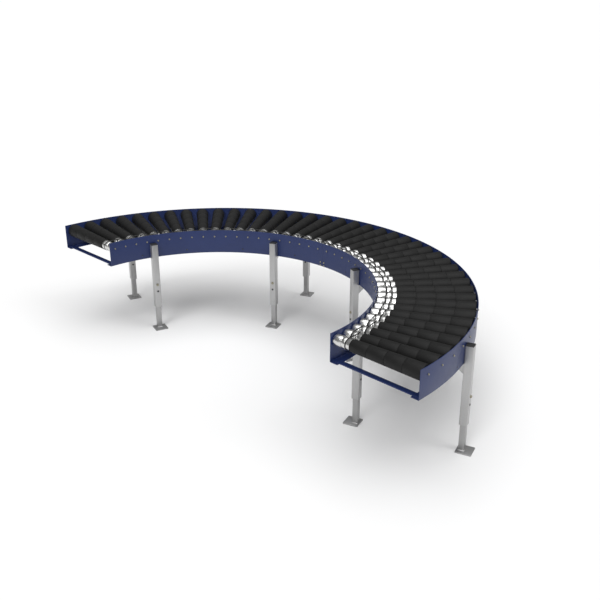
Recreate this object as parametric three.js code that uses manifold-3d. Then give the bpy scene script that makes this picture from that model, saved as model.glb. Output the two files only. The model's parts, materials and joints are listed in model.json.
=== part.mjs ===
// A 180 degree roller curve: two bolted 90 degree sections, each with an inner and an outer side
// rail, twenty tapered rollers on fixed hexagon axle ends, and telescopic legs under both rails.
// Millimetres, +Z up. The floor is z = 0, and the curve's centre line of symmetry is the Y axis.

import * as THREE from "three";
import { mergeVertices } from "three/addons/utils/BufferGeometryUtils.js";
import Module from "manifold-3d";

const wasm = await Module();
wasm.setup();

// ---- Curve and lane ----
const INNER_RADIUS = 900; // concave face of the inner rail
const LANE_WIDTH = 510; // over the outside faces of both rails
const OUTER_RADIUS = INNER_RADIUS + LANE_WIDTH;
const SECTIONS = 2;
const SECTION_ANGLE = Math.PI / 2;
const ROLLERS_PER_SECTION = 20;
const PITCH = SECTION_ANGLE / ROLLERS_PER_SECTION;
const GAP = 0.3; // between pieces that touch

// ---- Side rails: an angle section with the flange at the bottom, under the rollers ----
const RAIL_TOP = 610; // over the floor
const RAIL_HEIGHT = 146;
const RAIL_SHEET = 3;
const FLANGE_WIDTH = 46;
const RAIL_BOTTOM = RAIL_TOP - RAIL_HEIGHT;
const FLANGE_TOP = RAIL_BOTTOM + RAIL_SHEET;

// ---- Accessory holes in the webs, by roller pitches from each section's outer end ----
const WEB_HOLE_STATIONS = [3, 7, 12, 17];
const WEB_HOLE_RADIUS = 5;
const WEB_HOLE_SIDES = 8;
const WEB_HOLE_HEIGHT = 26; // over the rail's underside

// ---- Splice plates inside the joint of the two sections, and the bolt heads outside it ----
const SPLICE_LENGTH = 50;
const SPLICE_HEIGHT = 52;
const SPLICE_SHEET = 4;
const SPLICE_LIFT = 1; // over the flange
const BOLT_FROM_JOINT = 14;
const BOLT_HEIGHTS = [8, 27]; // over the rail's underside
const BOLT_HEAD_RADIUS = 5.77; // to the corners
const BOLT_HEAD = 5;

// ---- Cross members: flat bars that lie on both flanges ----
const BAR_WIDTH = 30;
const BAR_THICKNESS = 5;
const BAR_SETBACK = 10; // from a section's free end face
const BAR_SPLICE_GAP = 5; // between the splice plates and the bars beside them
const BAR_JOINT_SETBACK = SPLICE_LENGTH / 2 + BAR_SPLICE_GAP;
const BAR_END_CLEARANCE = 4; // to the outer rail's web

// ---- Axle ends: hexagon bar, fixed in the webs ----
const AXLE_ACROSS_CORNERS = 12.7;
const AXLE_SEAT = 15; // length inside the roller's bore

// ---- Rollers: steel tube with two belt grooves, then tapered sleeves ----
const ROLLER_SIDES = 10;
const TUBE_RADIUS = 28.5;
const TUBE_END_GAP = 5; // tube to the inner web
const SLEEVE_END_GAP = 8; // large end to the outer web
const BORE_CLEARANCE = 0.4;
const GROOVE_FIRST = 48; // groove centre from the inner web
const GROOVE_SPACING = 28;
const GROOVE_WIDTH = 11;
const GROOVE_DEPTH = 4.5;
const SLEEVE_FIRST = 100; // sleeve start from the inner web
const SLEEVE_WALL = 2; // at the small end
const SLEEVE_TAPER = THREE.MathUtils.degToRad(1.374); // half angle
const ROLLER_SET = 0; // top of the sleeve's large end over the rail's top edge
const SLEEVE_START = INNER_RADIUS + RAIL_SHEET + SLEEVE_FIRST;
const SLEEVE_END = OUTER_RADIUS - RAIL_SHEET - SLEEVE_END_GAP;
const SLEEVE_RADIUS = TUBE_RADIUS + SLEEVE_WALL;
const SLEEVE_END_RADIUS = SLEEVE_RADIUS + (SLEEVE_END - SLEEVE_START) * Math.tan(SLEEVE_TAPER);
const AXLE_HEIGHT = RAIL_TOP + ROLLER_SET - SLEEVE_END_RADIUS;

// ---- Legs: an upper square post bolted to the rail, and a foot that slides in it ----
const LEG_STATIONS = [4, 15]; // roller pitches from each section's outer end
const POST_SIZE = 40;
const POST_WALL = 2.5;
const POST_TOP_DROP = 50; // under the rail's top edge
const POST_BOTTOM = 145;
const POST_CAP = 4;
const BUSH_HEIGHT = 20; // plastic guide in the post's mouth
const BUSH_CLEARANCE = 0.4;
const GUSSET_REACH = 60;
const GUSSET_DROP = 60;
const GUSSET_SHEET = 5;
const GUSSET_TOE = 8;
const SEAT_WIDTH = 36;
const SEAT_SHEET = 4;
const FOOT_TUBE_CLEARANCE = 2.5; // to the inside of the post, filled by the guide
const FOOT_TUBE_SIZE = POST_SIZE - 2 * (POST_WALL + FOOT_TUBE_CLEARANCE);
const FOOT_TUBE_WALL = 2.5;
const FOOT_TUBE_TOP = 412;
const FOOT_PLATE_SIZE = 80;
const FOOT_PLATE_SHEET = 6;
const FOOT_PLATE_CORNER = 4;
const FOOT_PLATE_OFFSET = 16; // plate centre from the post's centre, away from the rail

// ---- Finishes ----
const navyPaint = new THREE.MeshStandardMaterial({ color: 0x26335a, roughness: 0.45 });
const blackSleeve = new THREE.MeshStandardMaterial({ color: 0x262626, roughness: 0.6 });
const galvanized = new THREE.MeshStandardMaterial({
  color: 0xa3a5a6, roughness: 0.45, metalness: 0.8,
});
const footSteel = new THREE.MeshStandardMaterial({
  color: 0x8f9193, roughness: 0.5, metalness: 0.8,
});

// ---- Solids ----
function toSolid(geometry) {
  const bare = geometry.clone();
  bare.deleteAttribute("normal");
  bare.deleteAttribute("uv");
  const merged = mergeVertices(bare, 1e-4);
  return new wasm.Manifold(
    new wasm.Mesh({
      numProp: 3,
      vertProperties: merged.attributes.position.array,
      triVerts: new Uint32Array(merged.index.array),
    }),
  );
}

function toGeometry(solid) {
  const mesh = solid.getMesh();
  const geometry = new THREE.BufferGeometry()
    .setAttribute("position", new THREE.BufferAttribute(mesh.vertProperties, 3))
    .setIndex(new THREE.BufferAttribute(mesh.triVerts, 1))
    .toNonIndexed();
  geometry.computeVertexNormals();
  return geometry;
}

const join = (pieces) => pieces.reduce((whole, piece) => whole.add(piece));

// A box between two corners.
function box(low, high) {
  const size = high.map((value, i) => value - low[i]);
  const geometry = new THREE.BoxGeometry(...size);
  geometry.translate(...low.map((value, i) => value + size[i] / 2));
  return toSolid(geometry);
}

// An outline in the XY plane, raised from z to z + height.
function raised(shape, z, height, curveSegments = 1) {
  const geometry = new THREE.ExtrudeGeometry(shape, {
    depth: height, bevelEnabled: false, curveSegments,
  });
  geometry.translate(0, 0, z);
  return toSolid(geometry);
}

// A prism along +X with the given number of sides, a flat side up where the count is even.
function prismAlongX(radius, sides, start, end) {
  const geometry = new THREE.CylinderGeometry(radius, radius, end - start, sides);
  geometry.rotateY(Math.PI / sides);
  geometry.rotateZ(-Math.PI / 2);
  geometry.translate((start + end) / 2, 0, 0);
  return toSolid(geometry);
}

// ---- Places on the curve ----
// Angles run from the first end, at -X, through +Y to the last end, at +X.
// In a place's own frame +X points away from the curve's centre and +Z up.
const bearing = (angle) => Math.PI - angle;

function atAngle(solid, angle, height = 0) {
  return solid.rotate([0, 0, THREE.MathUtils.radToDeg(bearing(angle))]).translate([0, 0, height]);
}

// A curved plate of one section, between two radii.
function curvedPlate(innerRadius, outerRadius, from, to, z, height) {
  const shape = new THREE.Shape();
  shape.absarc(0, 0, outerRadius, bearing(to), bearing(from), false);
  shape.absarc(0, 0, innerRadius, bearing(from), bearing(to), true);
  shape.closePath();
  return raised(shape, z, height, ROLLERS_PER_SECTION / 2);
}

// How far a curved web's flat facet falls from its corner, at a distance along it.
const facetFall = (along) => along * Math.tan(PITCH / 2);

const sectionStart = (section) => section * SECTION_ANGLE;
const seam = GAP / INNER_RADIUS; // each section ends this angle short of the joint

function sectionSpan(section) {
  const from = sectionStart(section) + (section > 0 ? seam : 0);
  const to = sectionStart(section + 1) - (section < SECTIONS - 1 ? seam : 0);
  return [from, to];
}

// Stations count roller pitches from the section's free end, so the two sections are mirrored.
function stationAngle(section, station) {
  return section === 0
    ? station * PITCH
    : SECTIONS * SECTION_ANGLE - station * PITCH;
}

// ---- Side rails ----
const axleRadius = AXLE_ACROSS_CORNERS / 2;

function axleEnd(start, end) {
  return prismAlongX(axleRadius, 6, start, end);
}

// A rail's web is between its two radii; faceSide is +1 where the rollers lie outside it.
function rail(section, webInner, faceSide) {
  const [from, to] = sectionSpan(section);
  const webOuter = webInner + RAIL_SHEET;
  const flangeInner = faceSide > 0 ? webInner : webOuter - FLANGE_WIDTH;
  const rollerFace = faceSide > 0 ? webOuter : webInner;
  const pieces = [
    curvedPlate(webInner, webOuter, from, to, RAIL_BOTTOM, RAIL_HEIGHT),
    curvedPlate(flangeInner, flangeInner + FLANGE_WIDTH, from, to, RAIL_BOTTOM, RAIL_SHEET),
  ];

  const seated = faceSide > 0 ? TUBE_END_GAP : SLEEVE_END_GAP;
  const tip = rollerFace + faceSide * (seated + AXLE_SEAT);
  const root = rollerFace - faceSide * (RAIL_SHEET / 2);
  for (let i = 0; i < ROLLERS_PER_SECTION; i++) {
    const angle = sectionStart(section) + (i + 0.5) * PITCH;
    const stub = axleEnd(Math.min(root, tip), Math.max(root, tip));
    pieces.push(atAngle(stub, angle, AXLE_HEIGHT));
  }

  if (section === 0) pieces.push(splicePlate(rollerFace, faceSide));
  pieces.push(...boltHeads(section, webInner, faceSide));

  let body = join(pieces);
  for (const station of WEB_HOLE_STATIONS) {
    const hole = prismAlongX(
      WEB_HOLE_RADIUS, WEB_HOLE_SIDES, webInner - RAIL_SHEET, webOuter + RAIL_SHEET,
    );
    const height = RAIL_BOTTOM + WEB_HOLE_HEIGHT;
    body = body.subtract(atAngle(hole, stationAngle(section, station), height));
  }
  return body;
}

// A flat plate on the roller side of the web. The first section carries it, and half of it
// reaches past the joint, clear of the second section's web.
function splicePlate(rollerFace, faceSide) {
  const half = SPLICE_LENGTH / 2;
  const clear = faceSide > 0 ? 0 : -facetFall(half);
  const near = rollerFace + faceSide * GAP + clear;
  const far = near + faceSide * SPLICE_SHEET;
  const low = FLANGE_TOP + SPLICE_LIFT;
  const plate = box(
    [-half, Math.min(near, far), low],
    [half, Math.max(near, far), low + SPLICE_HEIGHT],
  );
  // On the first section's side the plate is seated on the web.
  const root = rollerFace - faceSide * RAIL_SHEET / 2;
  const weld = box(
    [-half, Math.min(root, far), low],
    [-half / 2, Math.max(root, far), low + SPLICE_HEIGHT],
  );
  return plate.add(weld);
}

// The splice bolts' heads, on the web's face that is turned away from the rollers.
function boltHeads(section, webInner, faceSide) {
  const middle = webInner + RAIL_SHEET / 2;
  const outside = middle - faceSide * (RAIL_SHEET / 2 + BOLT_HEAD);
  const side = section === 0 ? -1 : 1;
  const angle = SECTION_ANGLE + side * (BOLT_FROM_JOINT / webInner);
  const start = Math.min(middle, outside);
  const end = Math.max(middle, outside);
  const head = prismAlongX(BOLT_HEAD_RADIUS, 6, start, end);
  return BOLT_HEIGHTS.map((height) => atAngle(head, angle, RAIL_BOTTOM + height));
}

// ---- Cross members, fused to the inner rail; each just clears the outer rail ----
const barStart = INNER_RADIUS + RAIL_SHEET / 3;
const barEnd = OUTER_RADIUS - RAIL_SHEET - BAR_END_CLEARANCE;
const barLow = FLANGE_TOP + GAP;

// A bar whose middle lies a distance along the curve from the line at the angle.
function crossBar(angle, along) {
  const middle = -along;
  const bar = box(
    [barStart, middle - BAR_WIDTH / 2, barLow],
    [barEnd, middle + BAR_WIDTH / 2, barLow + BAR_THICKNESS],
  );
  return atAngle(bar, angle);
}

function crossBars(section) {
  const start = sectionStart(section);
  const fromFreeEnd = BAR_SETBACK + BAR_WIDTH / 2;
  const fromJoint = BAR_JOINT_SETBACK + BAR_WIDTH / 2;
  const isFirst = section === 0;
  const isLast = section === SECTIONS - 1;
  return [
    crossBar(start, isFirst ? fromFreeEnd : fromJoint),
    crossBar(start + SECTION_ANGLE / 2, 0),
    crossBar(start + SECTION_ANGLE, isLast ? -fromFreeEnd : -fromJoint),
  ];
}

// ---- Rollers ----
// The profile runs from the inner web outwards: x is the radius, y the place along the axle.
function rollerGeometry() {
  const start = INNER_RADIUS + RAIL_SHEET + TUBE_END_GAP;
  const innerWeb = INNER_RADIUS + RAIL_SHEET;
  const boreRadius = (axleRadius + BORE_CLEARANCE) / Math.cos(Math.PI / ROLLER_SIDES);
  const grooves = [GROOVE_FIRST, GROOVE_FIRST + GROOVE_SPACING].flatMap((distance) => [
    [TUBE_RADIUS, innerWeb + distance - GROOVE_WIDTH / 2],
    [TUBE_RADIUS - GROOVE_DEPTH, innerWeb + distance],
    [TUBE_RADIUS, innerWeb + distance + GROOVE_WIDTH / 2],
  ]);
  const outline = [
    [boreRadius, start],
    [TUBE_RADIUS, start],
    ...grooves,
    [TUBE_RADIUS, SLEEVE_START],
    [SLEEVE_RADIUS, SLEEVE_START],
    [SLEEVE_END_RADIUS, SLEEVE_END],
    [boreRadius, SLEEVE_END],
    [boreRadius, start],
  ];
  const points = outline.map(([radius, along]) => new THREE.Vector2(radius, along));
  const geometry = new THREE.LatheGeometry(points, ROLLER_SIDES);
  geometry.rotateZ(-Math.PI / 2);
  return geometry;
}

// ---- Legs ----
// In a leg's frame the post's axis is x = 0, and the rail lies towards +X.
const postTop = RAIL_TOP - POST_TOP_DROP;
const half = POST_SIZE / 2;

// The post's centre from the curve's centre, so that its face just clears the rail's web.
const innerPostRadius = INNER_RADIUS - facetFall(half) - GAP - half;
const outerPostRadius = OUTER_RADIUS + GAP + half;

function squareTube(size, wall, bottom, top) {
  const core = size / 2 - wall;
  const outside = box([-size / 2, -size / 2, bottom], [size / 2, size / 2, top]);
  return outside.subtract(box([-core, -core, bottom - 1], [core, core, top + 1]));
}

function gusset() {
  const top = RAIL_BOTTOM - GAP - SEAT_SHEET;
  const shape = new THREE.Shape();
  shape.moveTo(half - POST_WALL / 2, top + SEAT_SHEET / 2);
  shape.lineTo(half - POST_WALL / 2, top - GUSSET_DROP);
  shape.lineTo(half, top - GUSSET_DROP);
  shape.lineTo(half + GUSSET_REACH, top - GUSSET_TOE);
  shape.lineTo(half + GUSSET_REACH, top + SEAT_SHEET / 2);
  shape.closePath();
  const geometry = new THREE.ExtrudeGeometry(shape, { depth: GUSSET_SHEET, bevelEnabled: false });
  geometry.rotateX(Math.PI / 2);
  geometry.translate(0, GUSSET_SHEET / 2, 0);
  const seat = box(
    [half - POST_WALL / 2, -SEAT_WIDTH / 2, top],
    [half + GUSSET_REACH, SEAT_WIDTH / 2, top + SEAT_SHEET],
  );
  return toSolid(geometry).add(seat);
}

function postGeometry() {
  const tube = squareTube(POST_SIZE, POST_WALL, POST_BOTTOM, postTop - POST_CAP);
  const cap = box([-half, -half, postTop - POST_CAP], [half, half, postTop]);
  const bushWall = (POST_SIZE - FOOT_TUBE_SIZE) / 2 - BUSH_CLEARANCE;
  const bush = squareTube(POST_SIZE, bushWall, POST_BOTTOM, POST_BOTTOM + BUSH_HEIGHT);
  return toGeometry(join([tube, cap, bush, gusset()]));
}

// The foot plate reaches further from the rail than towards it.
function footGeometry() {
  const plate = new THREE.Shape();
  const side = FOOT_PLATE_SIZE / 2;
  const cut = side - FOOT_PLATE_CORNER;
  plate.moveTo(-side, -cut);
  plate.lineTo(-cut, -side);
  plate.lineTo(cut, -side);
  plate.lineTo(side, -cut);
  plate.lineTo(side, cut);
  plate.lineTo(cut, side);
  plate.lineTo(-cut, side);
  plate.lineTo(-side, cut);
  plate.closePath();
  const base = raised(plate, 0, FOOT_PLATE_SHEET).translate([-FOOT_PLATE_OFFSET, 0, 0]);
  const tube = squareTube(
    FOOT_TUBE_SIZE, FOOT_TUBE_WALL, FOOT_PLATE_SHEET / 2, FOOT_TUBE_TOP,
  );
  return toGeometry(tube.add(base));
}

// ---- Assembly ----
const conveyor = new THREE.Group();
// The origin is under the middle of the whole, bolt heads included.
conveyor.position.y = -(OUTER_RADIUS + BOLT_HEAD) / 2;

function addMesh(parent, name, geometry, material) {
  const mesh = new THREE.Mesh(geometry, material);
  mesh.name = name;
  parent.add(mesh);
  return mesh;
}

// A group at an angle on the curve, whose +X points away from the curve's centre.
function placeAt(angle, height = 0) {
  const place = new THREE.Group();
  place.rotation.z = bearing(angle);
  place.position.z = height;
  conveyor.add(place);
  return place;
}

for (let section = 0; section < SECTIONS; section++) {
  const inner = join([rail(section, INNER_RADIUS, 1), ...crossBars(section)]);
  const outer = rail(section, OUTER_RADIUS - RAIL_SHEET, -1);
  addMesh(conveyor, `inner_rail_${section + 1}`, toGeometry(inner), navyPaint);
  addMesh(conveyor, `outer_rail_${section + 1}`, toGeometry(outer), navyPaint);
}

const rollerShape = rollerGeometry();
for (let i = 0; i < SECTIONS * ROLLERS_PER_SECTION; i++) {
  const place = placeAt((i + 0.5) * PITCH, AXLE_HEIGHT);
  addMesh(place, `roller_${String(i + 1).padStart(2, "0")}`, rollerShape, blackSleeve);
}

const legAngles = [
  ...LEG_STATIONS.map((station) => stationAngle(0, station)),
  ...LEG_STATIONS.map((station) => stationAngle(1, station)).reverse(),
];
const postShape = postGeometry();
const footShape = footGeometry();
legAngles.forEach((angle, i) => {
  for (const side of ["inner", "outer"]) {
    const leg = new THREE.Group();
    leg.position.x = side === "inner" ? innerPostRadius : outerPostRadius;
    leg.rotation.z = side === "inner" ? 0 : Math.PI;
    placeAt(angle).add(leg);
    addMesh(leg, `${side}_post_${i + 1}`, postShape, galvanized);
    addMesh(leg, `${side}_foot_${i + 1}`, footShape, footSteel);
  }
});

export default conveyor;
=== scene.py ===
"""Surfaces, fittings and a plain studio for a half-circle roller conveyor curve.

Everything is in metres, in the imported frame. The places come from that frame: the rollers'
joints give the curve's centre and the axles' height, and the rails give its radii. Angles run
along the curve from its first open end, at -X, through +Y to its last open end, at +X. In the
frame of a place on the curve, +X points away from the curve's centre and +Z up.
"""

import json
import logging
import math
from collections.abc import Callable, Iterable, Sequence
from dataclasses import dataclass, field
from enum import Enum

import bmesh
import bpy
from mathutils import Matrix, Vector


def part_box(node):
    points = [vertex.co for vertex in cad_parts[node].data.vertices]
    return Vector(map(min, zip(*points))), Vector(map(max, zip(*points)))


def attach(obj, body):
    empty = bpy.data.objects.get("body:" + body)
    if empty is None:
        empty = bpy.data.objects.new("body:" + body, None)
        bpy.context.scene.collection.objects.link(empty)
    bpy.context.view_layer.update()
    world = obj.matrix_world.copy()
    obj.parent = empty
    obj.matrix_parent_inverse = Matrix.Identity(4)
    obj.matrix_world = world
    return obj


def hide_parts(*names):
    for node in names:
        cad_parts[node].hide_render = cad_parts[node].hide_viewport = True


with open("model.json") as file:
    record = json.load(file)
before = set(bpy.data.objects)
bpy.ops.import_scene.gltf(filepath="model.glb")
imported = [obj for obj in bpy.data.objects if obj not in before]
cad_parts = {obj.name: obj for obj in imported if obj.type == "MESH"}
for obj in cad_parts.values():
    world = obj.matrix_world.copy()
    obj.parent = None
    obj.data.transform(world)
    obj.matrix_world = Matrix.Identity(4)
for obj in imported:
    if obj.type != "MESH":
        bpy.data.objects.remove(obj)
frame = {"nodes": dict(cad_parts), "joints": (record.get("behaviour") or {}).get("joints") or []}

LOG = logging.getLogger("conveyor")
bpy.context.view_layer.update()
ROOT_BODY = "frame"

Outline = list[tuple[float, float]]
Colour = tuple[float, float, float]


class Slot(Enum):
    """The record's material slots."""

    RAIL = "rail_paint"
    SLEEVE = "roller_sleeve"
    TUBE = "roller_tube"
    POST = "post_steel"
    FOOT = "foot_steel"
    BELT = "drive_belt"
    FASTENER = "fastener"
    PLASTIC = "plastic_cap"


class Side(Enum):
    """The two sides of the lane. The value points from the rail's web towards the rollers."""

    INNER = 1
    OUTER = -1

    @property
    def label(self) -> str:
        """The side's name, as the nodes' names have it."""
        return self.name.lower()


# ---------------------------------------------------------------------------------------------
# Places on the curve
# ---------------------------------------------------------------------------------------------


@dataclass(frozen=True)
class Layout:
    """Places and radii of the curve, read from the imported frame."""

    centre: Vector
    axle_height: float
    inner_radius: float
    outer_radius: float
    rail_bottom: float
    rail_top: float
    rollers: tuple[str, ...]
    sections: int = 2
    span: float = math.pi

    @classmethod
    def read(cls, lane_width: float = 0.510) -> "Layout":
        """Reads the layout from the frame.

        Args:
            lane_width: Distance over the outside faces of both rails.

        Returns:
            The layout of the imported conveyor.
        """
        rollers = tuple(sorted(n for n in frame["nodes"] if n.startswith("roller_")))
        spin = next(j for j in frame["joints"] if j["child"] == rollers[0])
        low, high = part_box("outer_rail_1")
        outer = -low.x
        x, y, z = spin["pos_m"]
        return cls(Vector((x, y, 0)), z, outer - lane_width, outer, low.z, high.z, rollers)

    @property
    def pitch(self) -> float:
        """The angle between two neighbouring axles."""
        return self.span / len(self.rollers)

    @property
    def section_angle(self) -> float:
        """The angle that one section spans."""
        return self.span / self.sections

    def roller_angle(self, index: int) -> float:
        """The angle of a roller's axle, where the first has index 0."""
        return (index + 0.5) * self.pitch

    def outward(self, angle: float) -> Vector:
        """The level direction away from the curve's centre at an angle."""
        return Vector((-math.cos(angle), math.sin(angle), 0))

    def place(self, angle: float, radius: float = 0.0, height: float = 0.0) -> Matrix:
        """The frame of a place on the curve, with +X away from the centre and +Z up.

        Args:
            angle: Angle along the curve.
            radius: Distance of the place's origin from the curve's centre.
            height: Height of its origin over the floor.

        Returns:
            The matrix from the place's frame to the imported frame.
        """
        origin = self.centre + self.outward(angle) * radius + Vector((0, 0, height))
        return Matrix.Translation(origin) @ Matrix.Rotation(math.pi - angle, 4, "Z")

    def station(self, section: int, pitches: float) -> float:
        """The angle of a place counted in pitches from a section's free end."""
        return pitches * self.pitch if section == 0 else self.span - pitches * self.pitch


# ---------------------------------------------------------------------------------------------
# Mesh building
# ---------------------------------------------------------------------------------------------


def rounded(corners: Sequence[tuple[float, float, float]], steps: int = 4) -> Outline:
    """An outline whose corners are arcs.

    Args:
        corners: The corners as (x, y, radius of the arc).
        steps: Chords in each arc.

    Returns:
        The closed outline's points.
    """
    outline: Outline = []
    for i, (x, y, radius) in enumerate(corners):
        here = Vector((x, y))
        back = (Vector(corners[i - 1][:2]) - here).normalized()
        on = (Vector(corners[(i + 1) % len(corners)][:2]) - here).normalized()
        if radius <= 0:
            outline.append((x, y))
            continue
        half = back.angle(on) / 2
        middle = here + (back + on).normalized() * (radius / math.sin(half))
        start = here + back * (radius / math.tan(half)) - middle
        end = here + on * (radius / math.tan(half)) - middle
        turn = start.angle_signed(end)
        for step in range(steps + 1):
            arm = start.copy()
            arm.rotate(Matrix.Rotation(-turn * step / steps, 2))
            outline.append(tuple(middle + arm))
    return outline


def rounded_square(size: float, radius: float, steps: int = 4) -> Outline:
    """A centred square outline with round corners.

    Args:
        size: Length of a side.
        radius: Radius of the corners.
        steps: Chords in each corner.

    Returns:
        The outline's points.
    """
    half = size / 2
    signs = ((-1, -1), (1, -1), (1, 1), (-1, 1))
    return rounded([(x * half, y * half, radius) for x, y in signs], steps)


def polygon(radius: float, sides: int) -> Outline:
    """A regular outline.

    Args:
        radius: The corners' distance from the middle.
        sides: Number of corners.

    Returns:
        The outline's points.
    """
    turns = [2 * math.pi * (i + 0.5) / sides for i in range(sides)]
    return [(radius * math.cos(t), radius * math.sin(t)) for t in turns]


@dataclass
class Shell:
    """Closed forms on the way to a mesh: their points, with a length along each, and faces."""

    points: list[Vector] = field(default_factory=list)
    faces: list[tuple[int, ...]] = field(default_factory=list)
    along: list[float] = field(default_factory=list)

    def loft(
        self,
        loops: Sequence[Sequence[Vector]],
        wrap: bool = False,
        along: Sequence[float] = (),
    ) -> "Shell":
        """Joins loops of points in a row to one closed form.

        Args:
            loops: The loops, each with the same number of points.
            wrap: Whether the last loop joins the first, as on a ring.
            along: A length for each of a loop's points, for patterns that follow it.

        Returns:
            The shell itself.
        """
        first, count = len(self.points), len(loops[0])
        for loop in loops:
            self.points.extend(loop)
            self.along.extend(along or [0.0] * count)
        rows = len(loops) if wrap else len(loops) - 1
        for row in range(rows):
            here = first + row * count
            there = first + (row + 1) % len(loops) * count
            for i in range(count):
                j = (i + 1) % count
                self.faces.append((here + i, here + j, there + j, there + i))
        if not wrap:
            last = first + (len(loops) - 1) * count
            self.faces.append(tuple(range(first + count - 1, first - 1, -1)))
            self.faces.append(tuple(range(last, last + count)))
        return self

    def prism(self, outline: Outline, low: float, high: float) -> "Shell":
        """An outline in the XY plane, raised between two heights.

        Args:
            outline: The outline.
            low: The lower height.
            high: The upper height.

        Returns:
            The shell itself.
        """
        loops = [[Vector((x, y, z)) for x, y in outline] for z in (low, high)]
        return self.loft(loops)

    def turned(self, outline: Outline, sides: int) -> "Shell":
        """A form turned about X, from one end's middle to the other's.

        Args:
            outline: Points (place on the axis, radius), with no radius of 0.
            sides: Sides of each ring.

        Returns:
            The shell itself.
        """
        loops = [
            [Vector((x, y, z)) for y, z in polygon(radius, sides)] for x, radius in outline
        ]
        return self.loft(loops)

    def ring(self, outline: Outline, sides: int) -> "Shell":
        """A closed outline turned about X, open along its axis.

        Args:
            outline: Points (place on the axis, radius).
            sides: Number of times the outline is repeated round the axis.

        Returns:
            The shell itself.
        """
        loops = []
        for i in range(sides):
            turn = 2 * math.pi * i / sides
            c, s = math.cos(turn), math.sin(turn)
            loops.append([Vector((x, radius * s, radius * c)) for x, radius in outline])
        return self.loft(loops, wrap=True, along=[x for x, _ in outline])

    def tube(self, outer: Outline, inner: Outline, low: float, high: float) -> "Shell":
        """An upright tube between two outlines that have the same number of points.

        Args:
            outer: The outside.
            inner: The inside.
            low: Height of the lower end.
            high: Height of the upper end.

        Returns:
            The shell itself.
        """
        loops = [
            [Vector((x, y, z)) for x, y in outline]
            for outline, z in ((outer, low), (outer, high), (inner, high), (inner, low))
        ]
        return self.loft(loops, wrap=True)

    def placed(self, matrix: Matrix, start: int = 0) -> "Shell":
        """Moves the points from a number on.

        Args:
            matrix: How they move.
            start: Number of the first point that moves.

        Returns:
            The shell itself.
        """
        self.points[start:] = [matrix @ point for point in self.points[start:]]
        return self

    def mesh(self, name: str, smooth: float = 32.0) -> bpy.types.Mesh:
        """The shell as a mesh with its faces outward.

        Args:
            name: Name of the mesh.
            smooth: Edges that turn by less than this many degrees are shaded smooth.

        Returns:
            A mesh with the point attribute "along".
        """
        made = bpy.data.meshes.new(name)
        made.from_pydata(self.points, [], self.faces)
        made.attributes.new("along", "FLOAT", "POINT").data.foreach_set("value", self.along)
        face_outward(made)
        shade(made, smooth)
        return made


def face_outward(mesh: bpy.types.Mesh) -> None:
    """Turns every closed form of a mesh to face outward.

    Args:
        mesh: The mesh to change.
    """
    work = bmesh.new()
    work.from_mesh(mesh)
    bmesh.ops.recalc_face_normals(work, faces=work.faces)
    work.to_mesh(mesh)
    work.free()


def shade(mesh: bpy.types.Mesh, degrees: float) -> None:
    """Shades a mesh smooth over every edge that turns by less than an angle."""
    mesh.shade_smooth()
    mesh.set_sharp_from_angle(angle=math.radians(degrees))


def joined(meshes: Iterable[bpy.types.Mesh], name: str) -> bpy.types.Mesh:
    """Several meshes as one, with the first one's materials.

    Args:
        meshes: The meshes.
        name: Name of the new mesh.

    Returns:
        The new mesh.
    """
    meshes = list(meshes)
    work = bmesh.new()
    for mesh in meshes:
        work.from_mesh(mesh)
    whole = bpy.data.meshes.new(name)
    work.to_mesh(whole)
    work.free()
    for material in meshes[0].materials:
        whole.materials.append(material)
    return whole


def with_modifiers(
    mesh: bpy.types.Mesh, add: Callable[[bpy.types.Object], None]
) -> bpy.types.Mesh:
    """A mesh as its modifiers leave it.

    Args:
        mesh: The mesh to start from.
        add: Adds the modifiers to the object that carries the mesh.

    Returns:
        A new plain mesh. The object and its modifiers are removed.
    """
    carrier = linked(mesh.name, mesh)
    add(carrier)
    depsgraph = bpy.context.evaluated_depsgraph_get()
    result = bpy.data.meshes.new_from_object(
        carrier.evaluated_get(depsgraph), preserve_all_data_layers=True, depsgraph=depsgraph
    )
    carrier.modifiers.clear()
    bpy.data.objects.remove(carrier)
    return result


def eased(mesh: bpy.types.Mesh, width: float, smooth: float = 40.0) -> bpy.types.Mesh:
    """A mesh with its sharp edges rounded by a small bevel.

    Args:
        mesh: The mesh to start from.
        width: Width of the bevel.
        smooth: Edges that turn by less than this many degrees are shaded smooth.

    Returns:
        The new mesh.
    """

    def add(carrier: bpy.types.Object) -> None:
        """Adds the bevel.

        Args:
            carrier: The object that carries the mesh.
        """
        bevel = carrier.modifiers.new("ease", "BEVEL")
        bevel.width = width
        bevel.segments = 2
        bevel.limit_method = "ANGLE"
        bevel.angle_limit = math.radians(40)
        bevel.harden_normals = False

    made = with_modifiers(mesh, add)
    shade(made, smooth)
    return made


def dressed(mesh: bpy.types.Mesh, material: bpy.types.Material) -> bpy.types.Mesh:
    """Gives a mesh its only material.

    Args:
        mesh: The mesh.
        material: Its finish.

    Returns:
        The same mesh.
    """
    mesh.materials.clear()
    mesh.materials.append(material)
    return mesh


def moved(mesh: bpy.types.Mesh, matrix: Matrix) -> bpy.types.Mesh:
    """A copy of a mesh, moved.

    Args:
        mesh: The mesh to copy.
        matrix: Where the copy goes.

    Returns:
        The copy.
    """
    copy = mesh.copy()
    copy.transform(matrix)
    return copy


def linked(name: str, data: bpy.types.ID) -> bpy.types.Object:
    """A new object of the scene.

    Args:
        name: Its name.
        data: Its mesh, light or camera.

    Returns:
        The object.
    """
    made = bpy.data.objects.new(name, data)
    bpy.context.scene.collection.objects.link(made)
    return made


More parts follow.
